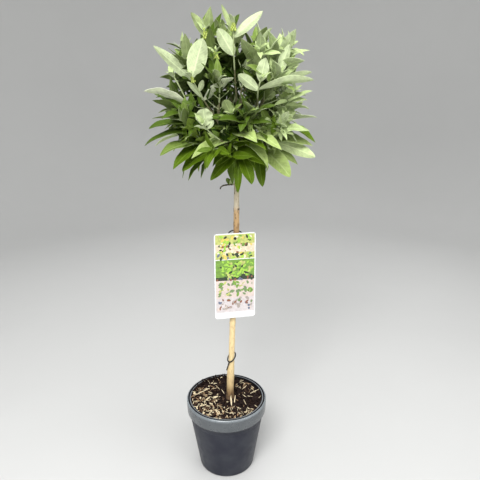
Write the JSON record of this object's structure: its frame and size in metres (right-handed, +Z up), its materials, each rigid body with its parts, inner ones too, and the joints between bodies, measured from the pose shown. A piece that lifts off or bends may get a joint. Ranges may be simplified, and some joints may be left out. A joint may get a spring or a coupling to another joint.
{
  "type": "potted butterfly bush",
  "caption": "Young butterfly bush grown as a small standard: one clear stem with a round leafy head, hanging label and tie, in a tapered pot of soil.",
  "frame": {"origin": "centre of the pot's flat underside", "axes": "+Z up; -Y towards the side that the label faces; +X to the label's right as it is seen"},
  "size_m": [0.338, 0.3071, 1.0366],
  "materials": {
    "pot_plastic": "satin anthracite, with a lighter sheen on the rim band",
    "potting_mix": "moist dark peat with pale wood fibres and chips",
    "bark": "smooth young bark, straw-coloured to tan, with knots and darker patches",
    "leaf": "dark green above, pale grey-green and felted below",
    "card_print": "glossy white card with plain bands of green, yellow and pink",
    "black_plastic": "black, slightly glossy"
  },
  "bodies": {
    "root": {"pot": "pot_plastic", "soil": "potting_mix", "trunk": "bark", "bough_low_left": "bark", "bough_low_right": "bark", "bough_low_front": "bark", "bough_low_back": "bark", "bough_high_front_left": "bark", "bough_high_back_right": "bark", "bough_high_front_right": "bark", "bough_high_back_left": "bark", "foliage_top": "leaf", "foliage_low_left": "leaf", "foliage_low_right": "leaf", "foliage_low_front": "leaf", "foliage_low_back": "leaf", "foliage_high_front_left": "leaf", "foliage_high_front_right": "leaf", "foliage_high_back_left": "leaf", "foliage_high_back_right": "leaf", "side_twig": "bark", "label_card": "card_print", "label_loop": "black_plastic", "stem_tie": "black_plastic"}
  },
  "joints": []
}
